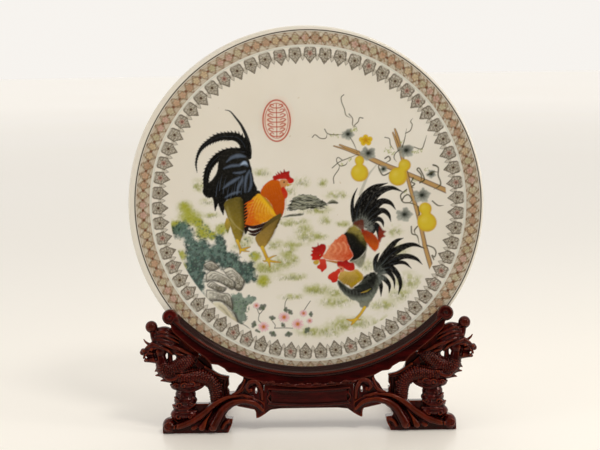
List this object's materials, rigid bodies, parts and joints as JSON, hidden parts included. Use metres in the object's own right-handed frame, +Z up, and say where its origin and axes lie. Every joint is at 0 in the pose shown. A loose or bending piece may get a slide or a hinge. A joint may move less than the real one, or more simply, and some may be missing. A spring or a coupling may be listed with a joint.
{
  "type": "display plate on a carved wooden stand",
  "caption": "Round dished porcelain display plate with a painted bird-and-gourd scene, leaning in a carved dark wood cradle stand with dragon supports and a lift-out plate.",
  "frame": {"origin": "middle of the footprint on the table, at the undersides of the felt pads", "axes": "+Z up and the longest extent; +X to the plate's right as seen from the front; +Y to the back, the shortest extent; the painted face looks to -Y and leans back 8 degrees"},
  "size_m": [0.3499, 0.1206, 0.3933],
  "materials": {
    "porcelain": "clear glossy glaze over warm white porcelain, overglaze enamel painting",
    "lacquered_wood": "gloss lacquer, dark mahogany red",
    "plain_wood": "bare turned dowel",
    "steel": "zinc-plated screws and pins",
    "felt": "dark felt"
  },
  "bodies": {
    "stand": {"cradle_front_rail": "lacquered_wood", "cradle_seat": "lacquered_wood", "cradle_rear_rail": "lacquered_wood", "relief_strip": "lacquered_wood", "apron_panel": "lacquered_wood", "bracket_left": "lacquered_wood", "bracket_right": "lacquered_wood", "leg_left": "lacquered_wood", "leg_right": "lacquered_wood", "cloud_pillar_left": "lacquered_wood", "cloud_pillar_right": "lacquered_wood", "dragon_left": "lacquered_wood", "dragon_right": "lacquered_wood", "base_runner_left": "lacquered_wood", "base_runner_right": "lacquered_wood", "rear_strut_left": "lacquered_wood", "rear_strut_right": "lacquered_wood", "rear_stretcher": "lacquered_wood", "rail_pins": "steel", "apron_dowels": "plain_wood", "pillar_dowels": "plain_wood", "dragon_dowels": "plain_wood", "strut_screws": "steel", "stretcher_screws": "steel", "runner_dowels": "plain_wood", "runner_screws": "steel", "foot_pads": "felt"},
    "plate": {"plate": "porcelain"}
  },
  "joints": [
    {"name": "plate_lift", "type": "slide", "parent": "stand", "child": "plate", "axis": [0, 0.1392, 0.9903], "range_m": [0, 0.12]}
  ]
}
